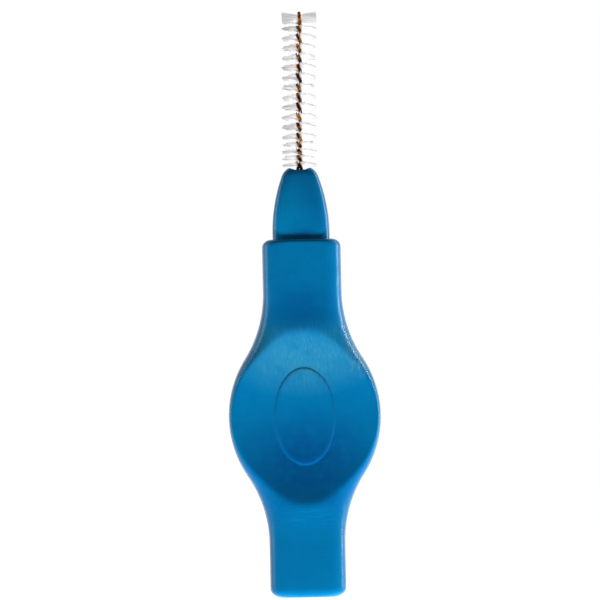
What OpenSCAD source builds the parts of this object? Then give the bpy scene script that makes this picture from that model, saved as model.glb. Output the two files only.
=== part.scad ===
// Interdental brush: a flat soft grip moulded over a stiff core, and a twisted
// wire stem that clamps the filaments and is moulded into the core's nose.
// Millimetres. The butt stands on z = 0, the brush points along +z, and the
// front of the grip, with its label plateau, faces -y.

/* [Grip outline] */
// Height of the grip from its butt to its shoulder
grip_h = 37.6; // [35:0.2:44]
// Width of the bulge that finger and thumb hold
bulge_w = 15.9; // [13:0.1:18]
// Height of the middle of the bulge above the butt
bulge_z = 19; // [18:0.2:20]
// Radius of the round sides of the bulge
bulge_r = 11.2; // [8.5:0.1:13]
// Radius of the hollow sides above and below the bulge
waist_r = 12.8; // [8:0.1:15]
// Width of the neck under the shoulder
neck_w = 8.2; // [7.6:0.1:10]
// Width of the tail at the butt
tail_w = 7.9; // [6:0.1:10]

/* [Grip thickness] */
// Thickness of the neck
neck_t = 4.6; // [4.4:0.1:5]
// Thickness of the tail
tail_t = 4.4; // [3.6:0.1:5]
// Thickness over the crests at both ends of the finger dishes
crest_t = 5.2; // [5:0.1:6]
// Length of a finger dish
dish_span = 18.3; // [16:0.1:20]
// Width of the crest that is left beyond each end of a dish
crest_land = 0.25; // [0.1:0.05:0.6]
// Length over which the grip thickens towards a crest
crest_ramp = 4.2; // [2:0.2:7]
// Thickness of the web between the two finger dishes
web_t = 2.6; // [2.2:0.1:3.4]

/* [Grip ends] */
// Height of the rounding at the butt
butt_round_h = 0.9; // [0.3:0.1:1.5]
// How far the butt's rounding draws in the width, on each side
butt_draw_w = 1.4; // [0.3:0.1:2.6]
// How far the butt's rounding draws in the thickness, on each side
butt_draw_t = 0.8; // [0.3:0.1:1.4]
// Height of the rounding at the shoulder
shoulder_round_h = 0.8; // [0.3:0.1:1.5]
// How far the shoulder's rounding draws in the width, on each side
shoulder_draw_w = 0.85; // [0.2:0.05:0.95]
// How far the shoulder's rounding draws in the thickness, on each side
shoulder_draw_t = 0.35; // [0.1:0.05:0.5]

/* [Label plateau] */
// Width of the bare oval plateau in the front dish
label_w = 6.5; // [3:0.1:9]
// Height of the oval plateau
label_h = 10.4; // [5:0.1:13]
// How far the plateau stands proud of the dish
label_rise = 0.12; // [0.04:0.02:0.3]

/* [Core] */
// Height of the nose above the shoulder
nose_h = 7.5; // [6:0.1:8.4]
// Width of the nose at the shoulder
nose_w = 6; // [4.4:0.1:6.2]
// Thickness of the nose at the shoulder
nose_t = 3.4; // [3:0.1:3.7]
// Height of the nose's straight foot, below the arcs of its sides
nose_foot_h = 0.6; // [0:0.1:1.2]
// Radius of the arc that narrows the nose towards its tip, seen from the front
nose_arc_w = 17.2; // [17:0.2:60]
// Radius of the arc that thins the nose towards its tip, seen from the side
nose_arc_t = 40; // [36:1:120]
// Height of the rounding at the tip of the nose
nose_tip_h = 0.9; // [0.3:0.1:1.2]
// How far the tip's rounding draws in the width, on each side
nose_tip_draw_w = 0.56; // [0.1:0.02:0.6]
// How far the tip's rounding draws in the thickness, on each side
nose_tip_draw_t = 0.35; // [0.1:0.05:0.5]
// Radius of the shallow saddle across the tip, which the stem stands in
saddle_r = 2.4; // [1.6:0.1:4]
// Depth of the saddle
saddle_d = 0.28; // [0.1:0.02:0.4]
// How deep the root of the nose sits in the grip
root_h = 1.2; // [0.6:0.1:2]
// Width of the neck block below the root
block_w = 4.6; // [3:0.1:5.6]
// Thickness of the neck block
block_t = 2.4; // [1.6:0.1:3]
// Length of the neck block
block_h = 6; // [4:0.2:8]
// Width of the flat tang
tang_w = 3.8; // [3:0.1:4.4]
// Thickness of the flat tang
tang_t = 1.1; // [0.8:0.1:1.4]
// Height of the tang's round end above the butt
tang_z = 12; // [10:0.5:16]
// Radius of the windows that the grip flows through
window_r = 1; // [0.6:0.05:1.2]
// Distance from one window to the next
window_pitch = 4.2; // [3:0.1:5]
// Number of windows
windows = 3; // [1:1:4]

/* [Stem wire] */
// Diameter of the wire
wire_d = 0.3; // [0.2:0.01:0.4]
// Gap between the two legs, where the filaments are clamped
nip_gap = 0.06; // [0.06:0.01:0.1]
// Length of stem that stands out of the nose, with its end loop
stem_out = 16.4; // [12:0.2:20]
// Length of stem that is held in the core
stem_in = 7; // [6:0.2:11]
// Length for one turn of the tight twist at the nose
tight_pitch = 1.44; // [1.2:0.02:1.8]
// Length for one turn of the open twist
open_pitch = 2.08; // [1.6:0.02:2.6]
// Height of the tight twist above the nose
tight_h = 3; // [1:0.1:6]
// Length of stem at the end loop where the twist dies out
loop_h = 0.5; // [0.4:0.05:1.2]
// Clearance between the stem and its bore
bore_clear = 0.03; // [0.005:0.005:0.05]

/* [Filaments] */
// Diameter of the brush over its filaments
brush_d = 3.7; // [2:0.1:6]
// Thickness of one filament
filament_t = 0.046; // [0.03:0.002:0.048]
// Distance along the stem from one filament to the next
filament_pitch = 0.052; // [0.051:0.001:0.08]
// Bare stem between the nose and the first filament
bare_h = 0.15; // [0.1:0.05:1.5]

/* [Smoothness] */
// Points round a section of the grip
grip_points = 36; // [24:4:56]
// Steps from ring to ring along the shaped part of the grip
grip_rings = 28; // [24:2:48]
// Points round a section of the nose
nose_points = 32; // [24:4:48]
// Rings for one turn of the stem wire
turn_rings = 9; // [8:1:12]
// Sides of the stem wire
wire_sides = 8; // [6:1:8]

/* [Hidden] */
// Powers of the rounded sections, where 2 is an ellipse and more is squarer:
// across the bulge, over its crests, at the grip's ends and along the nose
bulge_power = 3.6;
crest_power = 2.4;
end_power = 3.2;
nose_power = 3.2;
// Steps in each rounded end
round_steps = 5;
// Rings along the nose
nose_rings = 10;
// Sides of the oval plateau and steps of the end loop
oval_sides = 40;
loop_steps = 8;
// Turns of the twist that lie in the last stretch below the loop
loop_turn_share = 0.03;
// Angle of the first leg where the stem leaves the nose, seen from above
stem_phase = 146;
// Radius of the strand that joins the filaments on the axis, as a share of their thickness
strand_share = 0.42;
// Depth that a buried face runs past the surface it joins
overrun = 0.5;

dish_depth = (crest_t - web_t) / 2;
dish_r = (pow(dish_span / 2, 2) + pow(dish_depth, 2)) / (2 * dish_depth);
crest_reach = dish_span / 2 + crest_land;
nose_z = grip_h + nose_h;
root_z = grip_h - root_h;
block_z = root_z - block_h;
// Wide enough that the straight runs between the wire's rings leave the gap open too
leg_r = (wire_d + nip_gap) / 2 / cos(180 / turn_rings);
bore_r = leg_r + wire_d / 2 + bore_clear;
stem_z = nose_z - stem_in;
stem_top = nose_z + stem_out - wire_d / 2 - leg_r;
tight_z = nose_z + tight_h;
loop_z = stem_top - loop_h;
first_z = nose_z + bare_h;
filaments = floor((stem_top - first_z) / filament_pitch);

// Height and turns of the twist at the end of each stretch of the stem
twist_stations = [
    [stem_z, 0],
    [tight_z, (tight_z - stem_z) / tight_pitch],
    [loop_z, (tight_z - stem_z) / tight_pitch + (loop_z - tight_z) / open_pitch],
    [
        stem_top,
        (tight_z - stem_z) / tight_pitch + (loop_z - tight_z) / open_pitch + loop_turn_share
    ],
];
station_heights = [for (s = twist_stations) [s[1], s[0]]];
stem_turns = twist_stations[3][1];

// Turns of the twist at a height, and the height of a turn
function turns_at(z) = lookup(z, twist_stations);
function height_at(turns) = lookup(turns, station_heights);

// Angle of the legs about the axis: the twist is left-handed
function leg_angle(z) = stem_phase - 360 * (turns_at(z) - turns_at(nose_z));

function filament_height(i) = first_z + i * filament_pitch;

// Half of a sum that two tangent arcs span sideways, for the bulge's sides
function arc_reach(side) =
    let (both = bulge_r + waist_r)
    sqrt(pow(both, 2) - pow(both - side, 2));

// Half the width of the grip at a height: a round bulge, hollow waists, straight ends
function half_width(z) =
    let (
        end = (z > bulge_z ? neck_w : tail_w) / 2,
        reach = arc_reach(bulge_w / 2 - end),
        off = abs(z - bulge_z),
        turn = reach * bulge_r / (bulge_r + waist_r)
    )
    off > reach ? end
    : off > turn ? end + waist_r - sqrt(pow(waist_r, 2) - pow(reach - off, 2))
    : bulge_w / 2 - bulge_r + sqrt(pow(bulge_r, 2) - pow(off, 2));

// Half the thickness at a height, before the dishes are cut
function half_thickness(z) =
    let (
        end = (z > bulge_z ? neck_t : tail_t) / 2,
        off = abs(z - bulge_z) - crest_reach,
        rise = max(0, min(1, 1 - off / crest_ramp))
    )
    end + (crest_t / 2 - end) * pow(rise, 2);

// How square the section is at a height
function power_at(z) = lookup(abs(z - bulge_z), [
    [0, bulge_power],
    [crest_reach, crest_power],
    [crest_reach + crest_ramp, end_power],
]);

// A cosine or sine squared off by a power, with its sign
function squared_off(v, power) = sign(v) * pow(abs(v), 2 / power);

// A rounded section of half width a and half thickness b
function section(a, b, power, points) = [
    for (i = [0:points - 1])
        let (angle = 360 * i / points)
        [a * squared_off(cos(angle), power), b * squared_off(sin(angle), power)]
];

// The grip's section at a height, drawn in by two amounts
function grip_section(z, in_w = 0, in_t = 0) =
    section(half_width(z) - in_w, half_thickness(z) - in_t, power_at(z), grip_points);

// A section lifted to a height
function lifted(shape, z) = [for (p = shape) [p[0], p[1], z]];

// How far a quarter-round has drawn in at a share of its height
function draw_in(share) = 1 - sqrt(1 - pow(1 - share, 2));

// Share of a rounding's height at each of its steps, closer together at the flat end
function round_share(i) = 1 - cos(90 * i / round_steps);

// Outline of the nose at a height above the shoulder
function nose_section(h) =
    let (inward = draw_in(min(1, (nose_h - h) / nose_tip_h)))
    section(
        nose_w / 2 - nose_drop(nose_arc_w, h) - nose_tip_draw_w * inward,
        nose_t / 2 - nose_drop(nose_arc_t, h) - nose_tip_draw_t * inward,
        nose_power,
        nose_points
    );

// How far an arc that starts above the nose's foot has come in at a height
function nose_drop(r, h) = r - sqrt(pow(r, 2) - pow(max(0, h - nose_foot_h), 2));

// Solid through a stack of rings, each with the same number of points, from the bottom up
module skin(rings) {
    n = len(rings[0]);
    last = len(rings) - 1;
    polyhedron(
        points = [for (ring = rings) each ring],
        faces = concat(
            [[for (i = [0:n - 1]) i]],
            [
                for (j = [0:last - 1], i = [0:n - 1])
                    let (a = j * n + i, d = j * n + (i + 1) % n)
                    each [[a, a + n, d + n], [a, d + n, d]]
            ],
            [[for (i = [n - 1:-1:0]) last * n + i]]
        )
    );
}

// Heights of the grip's rings between its two rounded ends: close together where
// its form changes, and none along the straight runs of the tail and the neck
function ring_heights() =
    let (
        shoulder_z = grip_h - shoulder_round_h,
        waist_reach = arc_reach((bulge_w - min(neck_w, tail_w)) / 2),
        reach = max(waist_reach, crest_reach + crest_ramp),
        low = max(butt_round_h, bulge_z - reach),
        high = min(shoulder_z, bulge_z + reach)
    )
    concat(
        low > butt_round_h ? [butt_round_h] : [],
        [for (j = [0:grip_rings]) low + (high - low) * j / grip_rings],
        high < shoulder_z ? [shoulder_z] : []
    );

// The grip's outer form, before anything is cut from it
module grip_blank()
    skin(concat(
        [
            for (i = [0:round_steps - 1])
                let (share = round_share(i), inward = draw_in(share))
                let (z = butt_round_h * share)
                lifted(grip_section(z, butt_draw_w * inward, butt_draw_t * inward), z)
        ],
        [for (z = ring_heights()) lifted(grip_section(z), z)],
        [
            for (i = [round_steps - 1:-1:0])
                let (share = round_share(i), inward = draw_in(share))
                let (z = grip_h - shoulder_round_h * share)
                lifted(
                    grip_section(z, shoulder_draw_w * inward, shoulder_draw_t * inward),
                    z
                )
        ]
    ));

// The round bar that hollows a finger dish; side is -1 at the front and 1 at the back
module dish_bar(side, rise = 0)
    translate([0, side * (web_t / 2 + rise + dish_r), bulge_z])
        rotate([0, 90, 0])
            cylinder(r = dish_r, h = bulge_w + 2 * overrun, center = true, $fn = 180);

// Bare oval plateau that follows the hollow of the front dish
module label_plateau()
    difference() {
        translate([0, 0, bulge_z])
            rotate([90, 0, 0])
                linear_extrude(crest_t / 2)
                    polygon([
                        for (i = [0:oval_sides - 1])
                            let (angle = 360 * i / oval_sides)
                            [label_w / 2 * cos(angle), label_h / 2 * sin(angle)]
                    ]);
        dish_bar(-1, label_rise);
    }

// Root, neck block and tang: what the grip is moulded round
module core_insert(over = 0) {
    translate([0, 0, root_z])
        linear_extrude(root_h + over)
            polygon(nose_section(0));
    translate([-block_w / 2, -block_t / 2, block_z])
        cube([block_w, block_t, block_h]);
    tang();
}

// Flat tang with a round end and a row of windows
module tang() {
    end_z = tang_z + tang_w / 2;
    rotate([90, 0, 0])
        linear_extrude(tang_t, center = true)
            difference() {
                union() {
                    translate([0, end_z])
                        circle(tang_w / 2, $fn = 48);
                    translate([-tang_w / 2, end_z])
                        square([tang_w, block_z - end_z + overrun]);
                }
                for (i = [0:windows - 1])
                    translate([0, end_z + i * window_pitch])
                        circle(window_r, $fn = 32);
            }
}

module grip()
    color([0, 0.44, 0.68])
        difference() {
            union() {
                difference() {
                    grip_blank();
                    dish_bar(-1);
                    dish_bar(1);
                }
                label_plateau();
            }
            core_insert(overrun);
        }

module core()
    color([0, 0.4, 0.62])
        difference() {
            union() {
                skin(concat(
                    [
                        for (j = [0:nose_rings])
                            let (h = (nose_h - nose_tip_h) * j / nose_rings)
                            lifted(nose_section(h), grip_h + h)
                    ],
                    [
                        for (i = [round_steps - 1:-1:0])
                            let (h = nose_h - nose_tip_h * round_share(i))
                            lifted(nose_section(h), grip_h + h)
                    ]
                ));
                core_insert();
            }
            translate([0, 0, nose_z - saddle_d + saddle_r])
                rotate([90, 0, 0])
                    cylinder(r = saddle_r, h = nose_t + 2 * overrun, center = true, $fn = 96);
            translate([0, 0, stem_z - wire_d / 2])
                cylinder(r = bore_r, h = wire_d / 2 + stem_in + overrun, $fn = 48);
        }

// One station of the stem: a point, and the way that points out of the twist there
function leg_station(z, side) =
    let (angle = leg_angle(z), out = side * [cos(angle), sin(angle), 0])
    [out * leg_r + [0, 0, z], out];
function loop_station(share) =
    let (
        angle = leg_angle(stem_top),
        out = [cos(angle), sin(angle), 0] * cos(180 * share) + [0, 0, sin(180 * share)]
    )
    [out * leg_r + [0, 0, stem_top], out];

function unit(v) = v / norm(v);

// A ring of the wire square to its path, from the stations before, at and after it
function wire_ring(before, here, after) =
    let (
        along = unit(after[0] - before[0]),
        across = unit(cross(along, here[1])),
        out = cross(across, along)
    )
    [
        for (i = [0:wire_sides - 1])
            let (angle = 360 * i / wire_sides)
            here[0] + wire_d / 2 * (out * cos(angle) + across * sin(angle))
    ];

// One wire, folded in half: up one leg, over the end loop and down the other
module stem_wire()
    color([0.45, 0.24, 0.06]) {
        steps = ceil(stem_turns * turn_rings);
        heights = [for (i = [0:steps]) height_at(stem_turns * i / steps)];
        path = concat(
            [for (z = heights) leg_station(z, 1)],
            [for (i = [1:loop_steps - 1]) loop_station(i / loop_steps)],
            [for (i = [steps:-1:0]) leg_station(heights[i], -1)]
        );
        last = len(path) - 1;
        skin([
            for (i = [0:last])
                wire_ring(path[max(0, i - 1)], path[i], path[min(last, i + 1)])
        ]);
    }

// One quarter of the filaments, on the strand that joins them between the legs
module bristles(quarter)
    color([0.93, 0.93, 0.95]) {
        first = round(filaments * quarter / 4);
        last = round(filaments * (quarter + 1) / 4) - 1;
        translate([0, 0, filament_height(first) - filament_t / 2])
            cylinder(
                r = filament_t * strand_share,
                h = filament_height(last) - filament_height(first) + filament_t,
                $fn = 3
            );
        for (i = [first:last])
            translate([0, 0, filament_height(i)])
                rotate([0, 0, leg_angle(filament_height(i)) + 90])
                    cube([brush_d, filament_t, filament_t], center = true);
    }

module bristles_base() bristles(0);
module bristles_lower() bristles(1);
module bristles_upper() bristles(2);
module bristles_tip() bristles(3);

grip();
core();
stem_wire();
bristles_base();
bristles_lower();
bristles_upper();
bristles_tip();
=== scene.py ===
"""Dressed model of the interdental brush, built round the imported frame.

Lengths are written in millimetres and become metres as a mesh is made. The butt
stands on z = 0, the brush points along +z and the front of the grip faces -y.
"""

from __future__ import annotations

import logging
import math
import random
from contextlib import contextmanager
from dataclasses import dataclass, replace
from enum import Enum
from typing import Callable, Iterator, Sequence

import bmesh
import bpy
from mathutils import Matrix, Vector

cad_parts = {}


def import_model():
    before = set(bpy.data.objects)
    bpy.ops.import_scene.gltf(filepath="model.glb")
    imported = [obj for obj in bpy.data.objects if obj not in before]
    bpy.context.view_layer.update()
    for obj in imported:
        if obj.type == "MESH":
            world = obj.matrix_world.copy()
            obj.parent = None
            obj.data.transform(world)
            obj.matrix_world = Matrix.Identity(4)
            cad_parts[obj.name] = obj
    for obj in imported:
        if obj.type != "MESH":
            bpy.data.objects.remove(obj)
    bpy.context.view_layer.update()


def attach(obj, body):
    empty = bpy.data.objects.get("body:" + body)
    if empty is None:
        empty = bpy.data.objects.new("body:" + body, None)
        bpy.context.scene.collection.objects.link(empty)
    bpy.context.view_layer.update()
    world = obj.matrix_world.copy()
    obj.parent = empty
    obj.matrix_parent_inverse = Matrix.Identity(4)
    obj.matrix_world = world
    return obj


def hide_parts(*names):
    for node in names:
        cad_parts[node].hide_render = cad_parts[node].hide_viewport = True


LOG = logging.getLogger("interdental_brush")
MM = 0.001
WHITE = (1.0, 1.0, 1.0, 1.0)

# In millimetres: a loft's points nearer than WELD become one, and heights nearer
# than LEVEL count as one.
WELD = 0.0002
LEVEL = 0.0005

# A colour is three linear shares, and a triple is three measures along x, y and z.
Colour = tuple[float, float, float]
Triple = tuple[float, float, float]
Piece = bpy.types.Object
Socket = bpy.types.NodeSocket


class Side(Enum):
    """The two faces of the grip, by the sign of y."""

    FRONT = -1
    BACK = 1


class Part(Enum):
    """What a selection in edit mode is made of."""

    POINTS = "VERT"
    EDGES = "EDGE"
    FACES = "FACE"


class Merge(Enum):
    """How one closed solid acts on another."""

    ADD = "UNION"
    CUT = "DIFFERENCE"


class Axis(Enum):
    """Where a round primitive's axis points, by the turn that brings it there."""

    X = (0, math.pi / 2, 0)
    Y = (math.pi / 2, 0, 0)
    Z = (0, 0, 0)


# Work on meshes


def deselect_everything() -> None:
    """Leave edit mode and deselect every object."""
    if bpy.context.object and bpy.context.object.mode != "OBJECT":
        bpy.ops.object.mode_set(mode="OBJECT")
    bpy.ops.object.select_all(action="DESELECT")


def take(piece: Piece) -> None:
    """Select one object alone and make it active.

    Args:
        piece: the object to work on.
    """
    deselect_everything()
    piece.select_set(True)
    bpy.context.view_layer.objects.active = piece


@contextmanager
def editing(piece: Piece, part: Part = Part.POINTS) -> Iterator[None]:
    """Edit one object's mesh with nothing selected at the start.

    Args:
        piece: the object whose mesh is edited.
        part: the select mode to work in.
    """
    take(piece)
    bpy.ops.object.mode_set(mode="EDIT")
    bpy.ops.mesh.select_mode(type=part.value)
    bpy.ops.mesh.select_all(action="DESELECT")
    yield
    bpy.ops.object.mode_set(mode="OBJECT")


def pick(piece: Piece, part: Part, wanted: Callable[[Vector], bool]) -> None:
    """Select the points, edges or faces whose every corner passes a test.

    Args:
        piece: the object in edit mode.
        part: what to select.
        wanted: a test on a corner's place in millimetres.
    """
    bpy.ops.mesh.select_mode(type=part.value)
    bpy.ops.mesh.select_all(action="DESELECT")
    mesh = bmesh.from_edit_mesh(piece.data)
    passed = {v: wanted(v.co / MM) for v in mesh.verts}
    if part is Part.POINTS:
        chosen = [v for v in mesh.verts if passed[v]]
    else:
        pool = mesh.edges if part is Part.EDGES else mesh.faces
        chosen = [e for e in pool if all(passed[v] for v in e.verts)]
    for element in chosen:
        element.select_set(True)
    mesh.select_flush_mode()
    bmesh.update_edit_mesh(piece.data)


def add_cylinder(
    facets: int, radius: float, length: float, axis: Axis, place: Triple = (0, 0, 0)
) -> Piece:
    """Add a cylinder, with its sizes and place in millimetres.

    Args:
        facets: how many sides it has.
        radius: its radius.
        length: its length.
        axis: where its axis points.
        place: its middle.

    Returns:
        The new object, selected alone.
    """
    deselect_everything()
    bpy.ops.mesh.primitive_cylinder_add(
        vertices=facets,
        radius=radius * MM,
        depth=length * MM,
        location=tuple(v * MM for v in place),
        rotation=axis.value,
    )
    return bpy.context.object


def finish_with(piece: Piece, kind: str, **settings: object) -> None:
    """Add one modifier to a piece, set it and apply it.

    Args:
        piece: the object that gets the modifier.
        kind: Blender's name of the modifier type.
        settings: the modifier's settings by name.
    """
    take(piece)
    modifier = piece.modifiers.new(kind.lower(), kind)
    for name, value in settings.items():
        setattr(modifier, name, value)
    bpy.ops.object.modifier_apply(modifier=modifier.name)


def discard(piece: Piece) -> None:
    """Delete a helper object."""
    take(piece)
    bpy.ops.object.delete()


def merge(piece: Piece, other: Piece, how: Merge) -> None:
    """Add a helper solid to a piece or cut it out, and delete the helper.

    Args:
        piece: the piece that is changed.
        other: the helper solid.
        how: whether it is added or cut out.
    """
    finish_with(piece, "BOOLEAN", operation=how.value, object=other, solver="EXACT")
    discard(other)


def put_in_order(piece: Piece) -> None:
    """Sort a mesh's points and faces, which a boolean lists in another order each run.

    Args:
        piece: the object to sort, before it is shaded and dressed.
    """
    mesh = piece.data
    places = [tuple(v.co) for v in mesh.vertices]
    order = sorted(range(len(places)), key=places.__getitem__)
    rank = {old: new for new, old in enumerate(order)}
    faces = sorted([rank[i] for i in face.vertices] for face in mesh.polygons)
    mesh.clear_geometry()
    mesh.from_pydata([places[i] for i in order], [], faces)


def settle(piece: Piece, name: str) -> Piece:
    """Name a piece and put its place into its mesh.

    Args:
        piece: the object to settle.
        name: its new name, also its mesh's.

    Returns:
        The same object, at the origin, unturned and unscaled.
    """
    take(piece)
    bpy.ops.object.transform_apply(location=True, rotation=True, scale=True)
    piece.name = name
    piece.data.name = name
    return piece


def close_up(piece: Piece, gap: float = 0.0004) -> None:
    """Merge doubled points and turn every face outwards.

    Args:
        piece: the object to close.
        gap: points nearer than this, in millimetres, become one.
    """
    with editing(piece):
        bpy.ops.mesh.select_all(action="SELECT")
        bpy.ops.mesh.remove_doubles(threshold=gap * MM)
        bpy.ops.mesh.normals_make_consistent(inside=False)


def smooth(piece: Piece, degrees: float) -> None:
    """Shade a piece smooth, with its edges sharp above an angle.

    Args:
        piece: the object to shade.
        degrees: the angle between faces above which an edge stays sharp.
    """
    take(piece)
    bpy.ops.object.shade_smooth_by_angle(angle=math.radians(degrees))


@dataclass(frozen=True)
class Ring:
    """One section of a loft.

    Attributes:
        height: height of the section above the butt.
        half_width: half of its size along x.
        half_depth: half of its size along y.
        power: 2 is an ellipse, more is squarer.
    """

    height: float
    half_width: float
    half_depth: float
    power: float


def loft(name: str, rings: Sequence[Ring], corner_steps: int) -> Piece:
    """Make a closed solid through rounded sections.

    Each section starts as a plane at its height. Its four corners are beveled until
    they meet, with the bevel's own curve as the section's, and the sections are bridged.

    Args:
        name: name of the new object.
        rings: the sections from the bottom up.
        corner_steps: steps of each section's corner.

    Returns:
        The new object, in the scene.
    """
    deselect_everything()
    bpy.ops.mesh.primitive_plane_add(size=2 * MM)
    piece = bpy.context.object
    with editing(piece):
        bpy.ops.mesh.select_all(action="SELECT")
        bpy.ops.mesh.delete(type="VERT")
        for ring in rings:
            place = (0.0, 0.0, ring.height * MM)
            bpy.ops.mesh.select_all(action="DESELECT")
            bpy.ops.mesh.primitive_plane_add(size=2 * MM, location=place)
            bpy.ops.transform.resize(
                value=(ring.half_width, ring.half_depth, 1.0), center_override=place
            )
            bpy.ops.mesh.bevel(
                offset_type="PERCENT",
                offset_pct=50,
                segments=corner_steps,
                profile=2 ** (-2 / ring.power),
                affect="VERTICES",
                clamp_overlap=False,
            )
        bpy.ops.mesh.select_all(action="SELECT")
        bpy.ops.mesh.delete(type="ONLY_FACE")
        bpy.ops.mesh.select_all(action="SELECT")
        bpy.ops.mesh.remove_doubles(threshold=WELD * MM)
        bpy.ops.mesh.select_all(action="SELECT")
        bpy.ops.mesh.bridge_edge_loops(type="SINGLE")
        for end in (rings[0].height, rings[-1].height):
            pick(piece, Part.EDGES, lambda p, z=end: abs(p.z - z) < LEVEL)
            bpy.ops.mesh.edge_face_add()
        bpy.ops.mesh.select_all(action="SELECT")
        bpy.ops.mesh.normals_make_consistent(inside=False)
    return settle(piece, name)


def quarter_drop(share: float) -> float:
    """How far a quarter round has drawn in at a share of its height from its end."""
    return 1 - math.sqrt(max(0.0, 1 - (1 - share) ** 2))


def round_shares(steps: int) -> list[float]:
    """Space the sections of a quarter round by shares of its height, closest at its end."""
    return [1 - math.cos(math.pi / 2 * i / steps) for i in range(steps)]


def table_value(x: float, table: Sequence[tuple[float, float]]) -> float:
    """Read a value from a table of points joined by straight lines.

    Args:
        x: where to read.
        table: pairs of x and value, with x rising.

    Returns:
        The value there, held level past both ends.
    """
    if x <= table[0][0]:
        return table[0][1]
    for (x1, y1), (x2, y2) in zip(table, table[1:]):
        if x <= x2:
            return y1 + (y2 - y1) * (x - x1) / (x2 - x1)
    return table[-1][1]


# Shader groups and finishes


class ShaderSheet:
    """A node tree with short calls for adding nodes and joining them."""

    def __init__(self, tree: bpy.types.NodeTree) -> None:
        """Start on a tree, cleared of its nodes."""
        self.tree = tree
        tree.nodes.clear()

    def feed(self, target: Socket, value: object) -> None:
        """Join a socket to an input, or give the input a plain value.

        Args:
            target: the input.
            value: a socket, or what the input is set to.
        """
        if isinstance(value, Socket):
            self.tree.links.new(value, target)
        else:
            target.default_value = value

    def add(
        self, kind: str, inputs: dict[str | int, object] | None = None, **settings: object
    ) -> bpy.types.Node:
        """Add a node, set its properties and feed its inputs.

        Args:
            kind: Blender's name of the node type.
            inputs: a socket or plain value for each input, by its name or number.
            settings: properties by name.

        Returns:
            The new node.
        """
        node = self.tree.nodes.new(kind)
        for name, value in settings.items():
            setattr(node, name, value)
        for name, value in (inputs or {}).items():
            self.feed(node.inputs[name], value)
        return node

    def math(self, operation: str, a: Socket | float, b: Socket | float) -> Socket:
        """Add a math node.

        Args:
            operation: Blender's name of the operation.
            a: the first operand.
            b: the second operand.

        Returns:
            The node's output.
        """
        return self.add("ShaderNodeMath", {0: a, 1: b}, operation=operation).outputs[0]

    def ramp(self, value: Socket, low: float, high: float) -> Socket:
        """Stretch part of a value's range over 0 to 1.

        Args:
            value: the value to stretch.
            low: where the result is 0.
            high: where the result is 1.

        Returns:
            The stretched value.
        """
        inputs = {"Value": value, "From Min": low, "From Max": high}
        return self.add("ShaderNodeMapRange", inputs, clamp=True).outputs["Result"]

    def between(self, value: Socket, low: float, high: float) -> Socket:
        """Turn a mask into a value between two others.

        Args:
            value: the mask, from 0 to 1.
            low: the result where the mask is 0.
            high: the result where the mask is 1.

        Returns:
            The value between them.
        """
        inputs = {"Value": value, "To Min": low, "To Max": high}
        return self.add("ShaderNodeMapRange", inputs, clamp=True).outputs["Result"]

    def blend(self, mask: Socket, a: Socket | Colour, b: Socket | Colour) -> Socket:
        """Mix two colours by a mask.

        Args:
            mask: how much of the second colour shows.
            a: the first colour.
            b: the second colour.

        Returns:
            The mixed colour.
        """
        first, second = (v if isinstance(v, Socket) else (*v, 1.0) for v in (a, b))
        inputs = {"Factor": mask, 6: first, 7: second}
        return self.add("ShaderNodeMix", inputs, data_type="RGBA").outputs[2]

    def place(self) -> Socket:
        """Give the place on the object, in metres."""
        return self.add("ShaderNodeTexCoord").outputs["Object"]

    def length(self, vector: Socket) -> Socket:
        """Give a vector's length."""
        return self.add("ShaderNodeVectorMath", {0: vector}, operation="LENGTH").outputs["Value"]

    def noise(
        self, place: Socket, scale: Socket | float, detail: float, roughness: float = 0.5
    ) -> Socket:
        """Add a noise pattern.

        Args:
            place: where the pattern is read.
            scale: its scale, per metre.
            detail: how many finer layers it has.
            roughness: how strong the finer layers are.

        Returns:
            The pattern's value.
        """
        inputs = {"Vector": place, "Scale": scale, "Detail": detail, "Roughness": roughness}
        return self.add("ShaderNodeTexNoise", inputs).outputs["Fac"]

    def bump(self, height: Socket, strength: float, relief: float) -> Socket:
        """Turn a height into a normal.

        Args:
            height: the height, from 0 to about 1.
            strength: how much of the bump shows.
            relief: what a height of 1 stands for, in millimetres.

        Returns:
            The bumped normal.
        """
        inputs = {"Height": height, "Strength": strength, "Distance": relief * MM}
        return self.add("ShaderNodeBump", inputs).outputs["Normal"]

    def seen_directly(self) -> Socket:
        """Tell rays that look at a surface from rays that gather its light.

        Returns:
            A mask that is 1 for rays from the camera, off gloss and through clear stuff.
        """
        rays = self.add("ShaderNodeLightPath").outputs
        seen = self.math("MAXIMUM", rays["Is Camera Ray"], rays["Is Glossy Ray"])
        return self.math("MAXIMUM", seen, rays["Is Transmission Ray"])

    def show(self, shader: Socket, kind: str = "ShaderNodeOutputMaterial") -> None:
        """Join a shader to a new output of the given node type."""
        self.add(kind, {"Surface": shader})

    def principled(self, inputs: dict[str, object]) -> None:
        """Add the Principled shader with its inputs and show it."""
        self.show(self.add("ShaderNodeBsdfPrincipled", inputs).outputs["BSDF"])


def begin_material(name: str) -> tuple[bpy.types.Material, ShaderSheet]:
    """Make an empty node material.

    Args:
        name: its name.

    Returns:
        The material and its node sheet.
    """
    material = bpy.data.materials.new(name)
    material.use_nodes = True
    return material, ShaderSheet(material.node_tree)


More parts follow.
